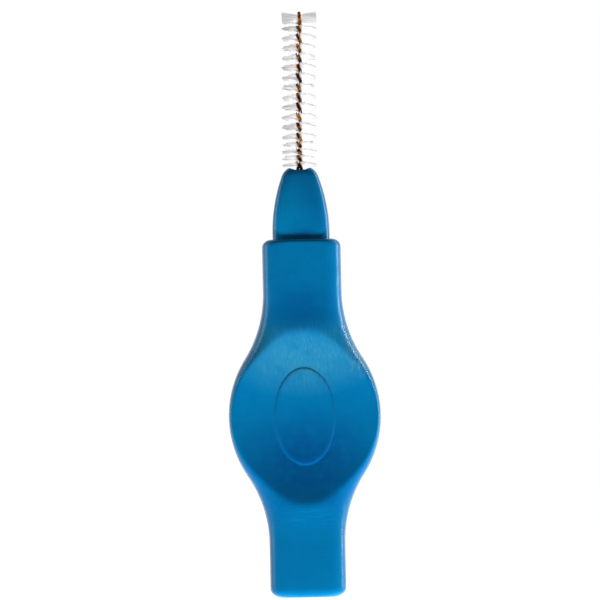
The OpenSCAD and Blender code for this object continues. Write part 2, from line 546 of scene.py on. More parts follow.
def moulded_skin_group() -> bpy.types.NodeTree:
    """Build the shared skin of moulded plastic: fine grain, cloudy tone and dust specks.

    Returns:
        A group with the inputs Vector, in metres, and Grain, the grain's scale, and the
        outputs Tone, Gloss and Height.
    """
    found = bpy.data.node_groups.get("moulded_skin")
    if found:
        return found
    group = bpy.data.node_groups.new("moulded_skin", "ShaderNodeTree")
    sheet = ShaderSheet(group)
    new = group.interface.new_socket
    new("Vector", in_out="INPUT", socket_type="NodeSocketVector")
    new("Grain", in_out="INPUT", socket_type="NodeSocketFloat")
    for name in ("Tone", "Gloss", "Height"):
        new(name, in_out="OUTPUT", socket_type="NodeSocketFloat")
    given = sheet.add("NodeGroupInput").outputs
    cloud = sheet.noise(given["Vector"], scale=430.0, detail=6.0, roughness=0.62)
    grain = sheet.noise(given["Vector"], scale=given["Grain"], detail=4.0, roughness=0.6)
    speck = sheet.add("ShaderNodeTexVoronoi", {"Vector": given["Vector"], "Scale": 900.0})
    fine = sheet.ramp(grain, 0.35, 0.65)
    pits = sheet.ramp(speck.outputs["Distance"], 0.02, 0.12)
    cloud_share, grain_share, pit_depth = 0.65, 0.35, 0.6
    tone = sheet.math("MULTIPLY", sheet.ramp(cloud, 0.3, 0.7), cloud_share)
    tone = sheet.math("ADD", tone, sheet.math("MULTIPLY", fine, grain_share))
    gloss = sheet.math("MULTIPLY", fine, pits)
    height = sheet.math("ADD", fine, sheet.math("MULTIPLY", pits, pit_depth))
    sheet.add("NodeGroupOutput", {"Tone": tone, "Gloss": gloss, "Height": height})
    return group


@dataclass(frozen=True)
class PaintedLightAndWearPatch:
    """A tinted patch in an ellipsoid: rubbed skin on some, painted shade and light on others.

    Attributes:
        centre: middle of the patch in millimetres.
        radii: its reach in millimetres.
        patch_colour: colour of the patch: rubbed skin on some patches, painted shade and light on
            others.
        cloud: how much of the haze lies as cloud.
        scuffs: how much of it lies as fine rubbed lines.
        lines: scales of the lines' pattern round the object and up it, per metre.
    """

    centre: Triple
    radii: Triple
    patch_colour: Colour
    cloud: float
    scuffs: float
    lines: tuple[float, float]

    def mask(self, sheet: ShaderSheet, place: Socket) -> Socket:
        """Add the cloudy mask of the patch.

        Args:
            sheet: the material's node sheet.
            place: the place on the object, in metres.

        Returns:
            A mask that is 1 where the patch is full.
        """
        inside = sheet.add(
            "ShaderNodeMapping",
            {
                "Vector": place,
                "Location": tuple(v * MM for v in self.centre),
                "Scale": tuple(v * MM for v in self.radii),
            },
            vector_type="TEXTURE",
        )
        away = sheet.length(inside.outputs["Vector"])
        cloud = sheet.noise(place, scale=640.0, detail=6.0, roughness=0.62)
        return sheet.math("MULTIPLY", sheet.ramp(away, 1.0, 0.3), sheet.ramp(cloud, 0.12, 0.52))

    def strokes(self, sheet: ShaderSheet, place: Socket) -> Socket:
        """Add the fine rubbed lines, as long and narrow as the pattern's scales make them.

        Args:
            sheet: the material's node sheet.
            place: the place on the object, in metres.

        Returns:
            A mask that is 1 on a line.
        """
        across, upright = self.lines
        scale = (across, across, upright)
        drawn = sheet.add("ShaderNodeMapping", {"Vector": place, "Scale": scale})
        noise = sheet.noise(drawn.outputs["Vector"], scale=1.0, detail=2.0)
        return sheet.ramp(noise, 0.5, 0.66)


@dataclass(frozen=True)
class MouldedPlastic:
    """A satin moulded plastic or rubber.

    Attributes:
        name: name of the material.
        slot: the record's material slot.
        deep: colour in the deeper cloudy patches.
        fair: colour in the fairer patches.
        rough_low: roughness where the skin is smoothest.
        rough_high: roughness where it is dullest.
        rough_lines: what a rubbed line adds to the roughness.
        grain: scale of the fine grain, per metre.
        relief: height of the grain in millimetres.
        strength: how much of the grain's bump shows.
        specular: strength of the reflection.
        gleam: tint of the reflection seen head on.
        wear_and_painted_light: the tinted patches: rubbed skin on some, painted shade and light on
            others.
    """

    name: str
    slot: str
    deep: Colour
    fair: Colour
    rough_low: float
    rough_high: float
    grain: float
    relief: float
    wear_and_painted_light: tuple[PaintedLightAndWearPatch, ...]
    rough_lines: float = 0.1
    strength: float = 0.6
    specular: float = 0.45
    gleam: Colour = (0.06, 0.45, 0.7)

    def make(self) -> bpy.types.Material:
        """Build the material's nodes.

        Returns:
            The material.
        """
        material, sheet = begin_material(self.name)
        place = sheet.place()
        skin = sheet.add(
            "ShaderNodeGroup",
            {"Vector": place, "Grain": self.grain},
            node_tree=moulded_skin_group(),
        )
        colour = sheet.blend(skin.outputs["Tone"], self.deep, self.fair)
        rough = sheet.between(skin.outputs["Gloss"], self.rough_high, self.rough_low)
        height = skin.outputs["Height"]
        # Each patch tints the colour: rubbed skin for some, painted shade and light for others.
        for patch in self.wear_and_painted_light:
            patch_mask = patch.mask(sheet, place)
            lines = sheet.math("MULTIPLY", patch_mask, patch.strokes(sheet, place))
            for mask, share in ((patch_mask, patch.cloud), (lines, patch.scuffs)):
                colour = sheet.blend(sheet.math("MULTIPLY", mask, share), colour, patch.patch_colour)
            rough = sheet.math("ADD", rough, sheet.math("MULTIPLY", lines, self.rough_lines))
            height = sheet.math("SUBTRACT", height, sheet.math("MULTIPLY", lines, patch.scuffs))
        sheet.principled(
            {
                "Base Color": colour,
                "Roughness": rough,
                "Specular IOR Level": self.specular,
                "Specular Tint": (*self.gleam, 1.0),
                "Normal": sheet.bump(height, self.strength, self.relief),
            }
        )
        return material


@dataclass(frozen=True)
class CoatedWire:
    """Wire with a glossy dark brown coat and random orange patches that are painted highlights.

    Attributes:
        name: name of the material.
        slot: the record's material slot.
        deep: colour of the coat.
        fair: colour of the painted highlights, in random orange patches.
        rough_low: roughness in the painted highlight patches.
        rough_high: roughness of the coat.
        relief: height of the coat's streaks in millimetres.
        strength: how much of their bump shows.
    """

    name: str
    slot: str
    deep: Colour
    fair: Colour
    rough_low: float
    rough_high: float
    relief: float
    strength: float

    def make(self) -> bpy.types.Material:
        """Build the material's nodes.

        Returns:
            The material.
        """
        material, sheet = begin_material(self.name)
        streak = sheet.noise(sheet.place(), scale=1900.0, detail=3.0)
        # Random orange patches stand in for the coat's highlights: painted highlights.
        patch_mask = sheet.ramp(streak, 0.5, 0.64)
        sheet.principled(
            {
                "Base Color": sheet.blend(patch_mask, self.deep, self.fair),
                "Metallic": 1.0,
                "Roughness": sheet.between(patch_mask, self.rough_high, self.rough_low),
                "Normal": sheet.bump(streak, self.strength, self.relief),
            }
        )
        return material


@dataclass(frozen=True)
class ClearNylon:
    """Pale translucent nylon for the filaments.

    Attributes:
        name: name of the material.
        slot: the record's material slot.
        milky: colour where the nylon is milky.
        clear: colour where it is clearer.
        tip: colour out at the tips.
        reach: distances from the axis in millimetres where the tips start and are full.
        glow: how much of the light that falls in comes out elsewhere.
        spread: how far that light travels, in millimetres.
        index: the nylon's index of refraction.
        rough_low: roughness where it is clearer.
        rough_high: roughness where it is milky.
    """

    name: str
    slot: str
    milky: Colour
    clear: Colour
    tip: Colour
    reach: tuple[float, float]
    glow: float
    spread: float
    index: float
    rough_low: float
    rough_high: float

    def make(self) -> bpy.types.Material:
        """Build the material's nodes.

        Returns:
            The material.
        """
        material, sheet = begin_material(self.name)
        place = sheet.place()
        cloud = sheet.ramp(sheet.noise(place, scale=1600.0, detail=2.0), 0.35, 0.65)
        flat = sheet.add("ShaderNodeMapping", {"Vector": place, "Scale": (1.0, 1.0, 0.0)})
        away = sheet.length(flat.outputs["Vector"])
        ends = sheet.ramp(away, *(v * MM for v in self.reach))
        body = sheet.blend(cloud, self.milky, self.clear)
        sheet.principled(
            {
                "Base Color": sheet.blend(ends, body, self.tip),
                "Roughness": sheet.between(cloud, self.rough_high, self.rough_low),
                "IOR": self.index,
                "Subsurface Weight": self.glow,
                "Subsurface Radius": (1.0, 1.0, 1.0),
                "Subsurface Scale": self.spread * MM,
            }
        )
        return material


def dress(piece: Piece, finish: MouldedPlastic | CoatedWire | ClearNylon) -> None:
    """Give a piece its finish.

    Args:
        piece: the object to dress.
        finish: the finish, whose material is built when it is first used.
    """
    material = bpy.data.materials.get(finish.name) or finish.make()
    piece.data.materials.clear()
    piece.data.materials.append(material)


GRIP_RUBBER = MouldedPlastic(
    name="grip_rubber",
    slot="grip",
    deep=(0.0, 0.142, 0.358),
    fair=(0.0, 0.18, 0.416),
    rough_low=0.16,
    rough_high=0.28,
    grain=9000.0,
    relief=0.008,
    wear_and_painted_light=(
        # Tail, front: painted shade, a little darker and less blue
        PaintedLightAndWearPatch(
            centre=(0.0, -2.3, 5.5),
            radii=(6.5, 2.6, 6.5),
            patch_colour=(0.0, 0.152, 0.355),
            cloud=0.8,
            scuffs=0.0,
            lines=(500.0, 6500.0),
        ),
        # Lower half of the front dish: painted shade, darker
        PaintedLightAndWearPatch(
            centre=(0.0, -1.5, 13.2),
            radii=(8.5, 2.2, 7.4),
            patch_colour=(0.0, 0.08, 0.285),
            cloud=0.85,
            scuffs=0.1,
            lines=(700.0, 6500.0),
        ),
        # Upper half of the front dish: painted sheen, with rubbed upright lines
        PaintedLightAndWearPatch(
            centre=(0.0, -2.0, 25.1),
            radii=(8.4, 3.2, 4.3),
            patch_colour=(0.045, 0.3, 0.455),
            cloud=0.42,
            scuffs=0.4,
            lines=(7500.0, 600.0),
        ),
        # Painted shade above the front dish
        PaintedLightAndWearPatch(
            centre=(0.0, -2.5, 30.6),
            radii=(6.4, 1.4, 3.3),
            patch_colour=(0.0, 0.117, 0.34),
            cloud=1.0,
            scuffs=0.0,
            lines=(7500.0, 600.0),
        ),
        # Painted glints: pale rubbed lines on the right edge above the bulge
        PaintedLightAndWearPatch(
            centre=(5.9, -1.0, 27.9),
            radii=(2.2, 2.0, 5.4),
            patch_colour=(0.3, 0.54, 0.74),
            cloud=0.1,
            scuffs=0.75,
            lines=(6200.0, 900.0),
        ),
        # Upper half of the back dish: painted sheen, with rubbed upright lines
        PaintedLightAndWearPatch(
            centre=(0.0, 2.0, 24.6),
            radii=(8.0, 3.2, 5.6),
            patch_colour=(0.03, 0.28, 0.46),
            cloud=0.4,
            scuffs=0.45,
            lines=(7500.0, 600.0),
        ),
        # Lower half of the back dish: painted shade, darker
        PaintedLightAndWearPatch(
            centre=(0.0, 1.5, 12.8),
            radii=(8.5, 2.2, 6.4),
            patch_colour=(0.0, 0.1, 0.3),
            cloud=0.7,
            scuffs=0.0,
            lines=(700.0, 6500.0),
        ),
        # Wrinkles below the front dish
        PaintedLightAndWearPatch(
            centre=(0.3, -2.6, 8.4),
            radii=(4.6, 1.2, 1.6),
            patch_colour=(0.0, 0.2, 0.45),
            cloud=0.1,
            scuffs=0.8,
            lines=(500.0, 6500.0),
        ),
    ),
)
NOSE_PLASTIC = MouldedPlastic(
    name="nose_plastic",
    slot="core",
    deep=(0.0, 0.137, 0.35),
    fair=(0.0, 0.168, 0.405),
    rough_low=0.14,
    rough_high=0.24,
    grain=12000.0,
    relief=0.006,
    wear_and_painted_light=(
        # Painted light: paler left side of the nose, with rubbed lines
        PaintedLightAndWearPatch(
            centre=(-1.6, -1.6, 40.5),
            radii=(3.0, 1.6, 4.0),
            patch_colour=(0.0, 0.225, 0.49),
            cloud=0.7,
            scuffs=0.3,
            lines=(5200.0, 700.0),
        ),
        # Painted shadow at the foot of the nose, below the grip's shoulder
        PaintedLightAndWearPatch(
            centre=(0.0, -1.9, 37.5),
            radii=(2.6, 1.4, 1.4),
            patch_colour=(0.0, 0.06, 0.2),
            cloud=0.9,
            scuffs=0.0,
            lines=(5200.0, 700.0),
        ),
    ),
)
# Dark brown coat; its orange patches are painted highlights.
WIRE_COAT = CoatedWire(
    name="wire_coat",
    slot="wire",
    deep=(0.03, 0.007, 0.001),
    fair=(0.5, 0.17, 0.012),
    rough_low=0.2,
    rough_high=0.28,
    relief=0.004,
    strength=0.35,
)
NYLON = ClearNylon(
    name="filament_nylon",
    slot="filament",
    milky=(0.57, 0.56, 0.57),
    clear=(0.61, 0.6, 0.61),
    tip=(0.57, 0.56, 0.57),
    reach=(0.5, 1.7),
    glow=0.2,
    spread=0.1,
    index=1.53,
    rough_low=0.3,
    rough_high=0.4,
)


# The grip


@dataclass
class Grip:
    """The soft grip: its outline, its two finger dishes and the bare oval plateau."""

    # Outline seen from the front
    height: float = 37.6
    bulge_width: float = 15.9
    bulge_height: float = 19.0
    bulge_radius: float = 11.2
    waist_radius: float = 12.8
    neck_width: float = 8.2
    tail_width: float = 7.9

    # Depths, the dishes' span and middle height, and how the crests beyond them run out
    neck_depth: float = 4.6
    tail_depth: float = 4.4
    crest_depth: float = 5.2
    web_depth: float = 2.6
    dish_span: float = 18.2
    dish_height: float = 18.9
    crest_land: float = 0.25
    crest_ramp: float = 4.2

    # Squareness of the sections at a dish's middle, at its rims and at the ends
    powers: tuple[float, float, float] = (3.6, 2.4, 3.2)

    # Rounding of the ends: its height, and what it draws in at the sides and faces
    butt_round: float = 0.9
    butt_draw: tuple[float, float] = (1.35, 0.8)
    shoulder_round: float = 0.8
    shoulder_draw: tuple[float, float] = (0.95, 0.34)
    shoulder_face: float = 0.36

    # Softening of the rims between dish and body
    rim_reach: float = 0.3
    rim_band: float = 0.1
    rim_softening: float = 0.5
    rim_passes: int = 5

    # Parting seam: its ends lie at a share of the end roundings
    seam_width: float = 0.06
    seam_rise: float = 0.02
    seam_start: float = 0.6
    seam_slack: float = 0.002

    # Gate mark, and its broken stub as a share of the mark's depth
    gate_place: float = -0.5
    gate_radii: tuple[float, float] = (0.7, 0.3)
    gate_depth: float = 0.14
    gate_stub: float = 1.2
    gate_facets: int = 48

    # Oval plateau: rings of its slope and its field as shares of its size
    oval_size: tuple[float, float] = (6.5, 10.4)
    oval_rise: float = 0.12
    oval_shoulder_shares: tuple[float, ...] = (0.985, 0.97, 0.955, 0.94)
    oval_field_shares: tuple[float, ...] = (0.86, 0.74, 0.6, 0.46, 0.32, 0.18, 0.06)
    oval_front: float = 3.5
    oval_thickness: float = 0.7
    oval_sink: float = 0.02
    oval_swell: float = 0.8
    ring_slack: float = 0.004
    oval_facets: int = 112

    # How finely the body is made
    body_rings: int = 96
    round_rings: int = 7
    corner_steps: int = 20
    dish_facets: int = 2400
    sharp_angle: float = 40.0

    @property
    def dish_drop(self) -> float:
        """Depth of a dish below its crests."""
        return (self.crest_depth - self.web_depth) / 2

    @property
    def dish_radius(self) -> float:
        """Radius of the round hollow of a dish."""
        return ((self.dish_span / 2) ** 2 + self.dish_drop**2) / (2 * self.dish_drop)

    def half_width(self, z: float) -> float:
        """Tell half the width: round bulge, hollow waists, straight ends.

        Args:
            z: the height above the butt in millimetres.

        Returns:
            Half the width there.
        """
        end = (self.neck_width if z > self.bulge_height else self.tail_width) / 2
        both = self.bulge_radius + self.waist_radius
        side = self.bulge_width / 2 - end
        reach = math.sqrt(both**2 - (both - side) ** 2)
        off = abs(z - self.bulge_height)
        if off > reach:
            return end
        if off > reach * self.bulge_radius / both:
            return end + self.waist_radius - math.sqrt(self.waist_radius**2 - (reach - off) ** 2)
        return self.bulge_width / 2 - self.bulge_radius + math.sqrt(self.bulge_radius**2 - off**2)

    def half_depth(self, z: float) -> float:
        """Tell half the depth before the dishes are pressed in.

        Args:
            z: the height above the butt in millimetres.

        Returns:
            Half the depth there.
        """
        end = (self.neck_depth if z > self.bulge_height else self.tail_depth) / 2
        off = abs(z - self.dish_height) - self.dish_span / 2 - self.crest_land
        rise = max(0.0, min(1.0, 1 - off / self.crest_ramp))
        return end + (self.crest_depth / 2 - end) * rise**2

    def power(self, z: float) -> float:
        """Tell how square the section is.

        Args:
            z: the height above the butt in millimetres.

        Returns:
            The power of the section's curve there.
        """
        crest = self.dish_span / 2 + self.crest_land
        middle, rim, end = self.powers
        return table_value(
            abs(z - self.dish_height), ((0, middle), (crest, rim), (crest + self.crest_ramp, end))
        )

    def ring(
        self, z: float, draw: tuple[float, float] = (0, 0), share: float = 1, tighter: float = 1
    ) -> Ring:
        """Give the section at a height.

        Args:
            z: the height above the butt in millimetres.
            draw: how far an end's rounding draws in the sides and the faces.
            share: how far through that rounding the section lies, 1 where it begins.
            tighter: how many times lower the rounding is on the faces than at the sides.

        Returns:
            The section.
        """
        wide = self.half_width(z) - draw[0] * quarter_drop(share)
        deep = self.half_depth(z) - draw[1] * quarter_drop(min(1.0, share * tighter))
        return Ring(z, wide, deep, self.power(z))

    def sections(self) -> list[Ring]:
        """List the sections from the butt to the shoulder.

        Returns:
            The sections, from the bottom up.
        """
        shares = round_shares(self.round_rings)
        low, high = self.butt_round, self.height - self.shoulder_round
        rings = [self.ring(low * s, self.butt_draw, s) for s in shares]
        rings += [
            self.ring(low + (high - low) * j / self.body_rings) for j in range(self.body_rings + 1)
        ]
        tighter = self.shoulder_round / self.shoulder_face
        rings += [
            self.ring(self.height - self.shoulder_round * s, self.shoulder_draw, s, tighter)
            for s in reversed(shares)
        ]
        return rings

    def dish_bar(self, side: Side, rise: float = 0.0) -> Piece:
        """Add the round bar whose surface is the hollow of a dish.

        Args:
            side: the face of the grip that it hollows.
            rise: how far it stands off the dish's own surface.

        Returns:
            The bar, to be deleted after use.
        """
        out = side.value * (self.web_depth / 2 + rise + self.dish_radius)
        place, length = (0, out, self.dish_height), self.bulge_width + 2
        return add_cylinder(self.dish_facets, self.dish_radius, length, Axis.X, place)

    def press_onto(self, piece: Piece, side: Side, rise: float = 0.0) -> None:
        """Move what of a piece lies inside a dish's bar onto the bar's surface.

        Args:
            piece: the object that is pressed.
            side: the face of the grip whose dish it follows.
            rise: how far the surface stands off the dish's own.
        """
        bar = self.dish_bar(side, rise)
        finish_with(
            piece,
            "SHRINKWRAP",
            target=bar,
            wrap_method="PROJECT",
            use_project_y=True,
            use_positive_direction=side is Side.FRONT,
            use_negative_direction=side is Side.BACK,
        )
        discard(bar)

    def near_rim(self, place: Vector) -> bool:
        """Tell whether a point lies on the rim between a dish and the body.

        Args:
            place: the point in millimetres.

        Returns:
            True on the rim.
        """
        off = abs(place.z - self.dish_height)
        if off > self.dish_span / 2 + self.rim_reach:
            return False
        wide, power = self.half_width(place.z), self.power(place.z)
        inside = max(0.0, 1 - min(1.0, abs(place.x) / wide) ** power)
        body = self.half_depth(place.z) * inside ** (1 / power)
        dish = (
            self.web_depth / 2
            + self.dish_radius
            - math.sqrt(self.dish_radius**2 - min(off, self.dish_radius) ** 2)
        )
        return abs(body - dish) < self.rim_band

    def build_body(self) -> Piece:
        """Loft the body, press both dishes in and soften their rims.

        Returns:
            The body, without its oval.
        """
        body = loft("grip", self.sections(), self.corner_steps)
        finish_with(body, "SUBSURF", levels=1, render_levels=1)
        for side in Side:
            self.press_onto(body, side)
        with editing(body):
            pick(body, Part.POINTS, self.near_rim)
            bpy.ops.mesh.vertices_smooth(factor=self.rim_softening, repeat=self.rim_passes)
        self.raise_seam(body)
        self.mark_gate(body)
        return body

    def raise_seam(self, body: Piece) -> None:
        """Raise the fine parting seam that runs up both sides in the middle plane.

        Args:
            body: the grip's body.
        """
        low = self.butt_round * self.seam_start
        high = self.height - self.shoulder_round * self.seam_start

        def on_seam(p: Vector) -> bool:
            """Tell whether a point lies in the middle plane between the seam's ends."""
            return abs(p.y) < self.seam_slack and low < p.z < high

        with editing(body, Part.EDGES):
            pick(body, Part.EDGES, on_seam)
            bpy.ops.mesh.bevel(offset=self.seam_width / 2 * MM, segments=2, affect="EDGES")
            for way in (-1, 1):
                pick(body, Part.POINTS, lambda p, way=way: on_seam(p) and p.x * way > 0)
                bpy.ops.transform.translate(value=(way * self.seam_rise * MM, 0, 0))

    def mark_gate(self, body: Piece) -> None:
        """Sink the round gate mark into the butt, with its broken stub in the middle.

        Args:
            body: the grip's body.
        """
        for radius, how in zip(self.gate_radii, (Merge.CUT, Merge.ADD)):
            place, length = (self.gate_place, 0, 0), 2 * self.gate_depth
            tool = add_cylinder(self.gate_facets, radius, length, Axis.Z, place)
            if how is Merge.ADD:
                with editing(tool):
                    pick(tool, Part.POINTS, lambda p: p.z < 0)
                    bpy.ops.transform.translate(value=(0, 0, self.gate_stub * self.gate_depth * MM))
            merge(body, tool, how)

    def build_oval(self) -> Piece:
        """Make the bare oval plateau as a closed plug that follows the front dish.

        Returns:
            The plug, to be joined to the body.
        """
        deselect_everything()
        centre = (0, -self.oval_front * MM, self.bulge_height * MM)
        bpy.ops.mesh.primitive_circle_add(
            vertices=self.oval_facets,
            radius=MM,
            fill_type="NOTHING",
            location=centre,
            rotation=Axis.Y.value,
        )
        oval = settle(bpy.context.object, "oval")
        with editing(oval, Part.EDGES):
            bpy.ops.mesh.select_all(action="SELECT")
            bpy.ops.transform.resize(
                value=(self.oval_size[0] / 2, 1, self.oval_size[1] / 2), center_override=centre
            )
            outer = 1.0
            for share in self.oval_shoulder_shares + self.oval_field_shares:
                bpy.ops.mesh.extrude_region_move()
                step = share / outer
                bpy.ops.transform.resize(value=(step, 1, step), center_override=centre)
                outer = share
            bpy.ops.mesh.edge_face_add()
        self.press_onto(oval, Side.FRONT, self.oval_rise)
        self.slope_oval_edge(oval)
        with editing(oval, Part.FACES):
            bpy.ops.mesh.select_all(action="SELECT")
            bpy.ops.mesh.extrude_region_move(
                TRANSFORM_OT_translate={"value": (0, self.oval_thickness * MM, 0)}
            )
        close_up(oval)
        return oval

    def oval_share(self, place: Vector) -> float:
        """Tell how far out a point lies, as a share of the oval's size.

        Args:
            place: the point in millimetres.

        Returns:
            The share, 1 on the oval's outline.
        """
        across = 2 * place.x / self.oval_size[0]
        upright = 2 * (place.z - self.bulge_height) / self.oval_size[1]
        return math.hypot(across, upright)

    def slope_oval_edge(self, oval: Piece) -> None:
        """Lower the plateau's outer rings into a rounded slope that ends under the dish.

        Args:
            oval: the plateau, before it gets its thickness.
        """
        shares = (1.0, *self.oval_shoulder_shares)
        for outer, inner in zip(shares, shares[1:]):
            way_in = (outer - shares[-1]) / (1 - shares[-1])
            bow = (1 - math.cos(way_in * math.pi / 2)) ** self.oval_swell
            drop = (self.oval_rise + self.oval_sink) * bow
            low, high = (outer + inner) / 2, outer + self.ring_slack
            with editing(oval):
                pick(oval, Part.POINTS, lambda p: low < self.oval_share(p) < high)
                bpy.ops.transform.translate(value=(0, drop * MM, 0))

    def build(self) -> Piece:
        """Build the whole grip.

        Returns:
            The finished grip.
        """
        body = self.build_body()
        merge(body, self.build_oval(), Merge.ADD)
        put_in_order(body)
        close_up(body)
        smooth(body, self.sharp_angle)
        dress(body, GRIP_RUBBER)
        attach(body, "root")
        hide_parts("grip")
        return body


# The core and its nose


@dataclass
class Core:
    """The stiff core: tapered nose, root, neck block and tang."""

    # Nose, with the radii of its curved sides and faces
    foot: float = 37.6
    nose_height: float = 7.5
    nose_width: float = 6.0
    nose_depth: float = 3.8
    nose_foot: float = 0.6
    width_arc: float = 17.2
    depth_arc: float = 40.0
    nose_power: float = 4.0

    # Rounded tip with its saddle
    tip_round: float = 0.9
    tip_draw: tuple[float, float] = (0.56, 0.35)
    saddle_radius: float = 2.4
    saddle_depth: float = 0.28
    saddle_edge: float = 0.05
    edge_band: float = 0.03

    # Root, neck block and tang inside the grip, and the tang's round windows
    root_height: float = 1.2
    block_size: tuple[float, float, float] = (4.6, 2.4, 6.0)
    tang_size: tuple[float, float] = (3.8, 1.1)
    tang_end: float = 12.0
    window_radius: float = 1.0
    window_pitch: float = 4.2
    windows: int = 3
    inner_power: float = 8.0
    ledge: float = 0.02

    # How finely it is made: degrees round the tang's end, rings and facets
    tang_round: tuple[int, ...] = (12, 25, 38, 51, 64, 77, 90)
    nose_rings: int = 40
    tip_rings: int = 10
    corner_steps: int = 16
    drill_facets: int = 96
    drill_length: float = 8.0
    sharp_angle: float = 40.0

    def nose_ring(self, h: float, share: float = 1) -> Ring:
        """Give the nose's section at a height.

        Args:
            h: the height above the shoulder in millimetres.
            share: how far through the tip's rounding it lies, 1 where that begins.

        Returns:
            The section.
        """
        up, drop = max(0.0, h - self.nose_foot), quarter_drop(share)
        wide = self.nose_width / 2 - (self.width_arc - math.sqrt(self.width_arc**2 - up**2))
        deep = self.nose_depth / 2 - (self.depth_arc - math.sqrt(self.depth_arc**2 - up**2))
        wide, deep = wide - self.tip_draw[0] * drop, deep - self.tip_draw[1] * drop
        return Ring(self.foot + h, wide, deep, self.nose_power)

    def sections(self) -> list[Ring]:
        """List the core's sections from the end of the tang to the nose's tip.

        Returns:
            The sections, from the bottom up.
        """
        root = self.foot - self.root_height
        block = root - self.block_size[2]
        radius, thick = self.tang_size[0] / 2, self.tang_size[1] / 2
        wide, deep = self.block_size[0] / 2, self.block_size[1] / 2
        inner = [
            (self.tang_end + radius * (1 - math.cos(a)), radius * math.sin(a), thick)
            for a in map(math.radians, self.tang_round)
        ]
        inner += [(block - self.ledge, radius, thick), (block, wide, deep)]
        inner += [(root - self.ledge, wide, deep)]
        rings = [Ring(*section, self.inner_power) for section in inner]
        rings.append(replace(self.nose_ring(0), height=root))
        top = self.nose_height - self.tip_round
        rings += [self.nose_ring(top * j / self.nose_rings) for j in range(self.nose_rings + 1)]
        shares = reversed(round_shares(self.tip_rings))
        return rings + [self.nose_ring(self.nose_height - self.tip_round * s, s) for s in shares]

    def drill(self, piece: Piece, height: float, radius: float) -> None:
        """Cut a round hole from front to back through the middle of a piece.

        Args:
            piece: the piece that is cut.
            height: the height of the hole's axis in millimetres.
            radius: the hole's radius in millimetres.
        """
        place = (0, 0, height)
        tool = add_cylinder(self.drill_facets, radius, self.drill_length, Axis.Y, place)
        merge(piece, tool, Merge.CUT)

    def build(self) -> Piece:
        """Build the core.

        Returns:
            The finished core.
        """
        core = loft("core", self.sections(), self.corner_steps)
        saddle = self.foot + self.nose_height - self.saddle_depth
        self.drill(core, saddle + self.saddle_radius, self.saddle_radius)
        for i in range(self.windows):
            window = self.tang_end + self.tang_size[0] / 2 + i * self.window_pitch
            self.drill(core, window, self.window_radius)
        close_up(core)
        with editing(core, Part.EDGES):
            pick(core, Part.EDGES, lambda p: p.z > saddle - self.edge_band)
            bpy.ops.mesh.bevel(offset=self.saddle_edge * MM, segments=2, affect="EDGES")
        smooth(core, self.sharp_angle)
        dress(core, NOSE_PLASTIC)
        core.visible_shadow = False
        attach(core, "root")
        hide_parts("core")
        return core


# The stem wire and its filaments


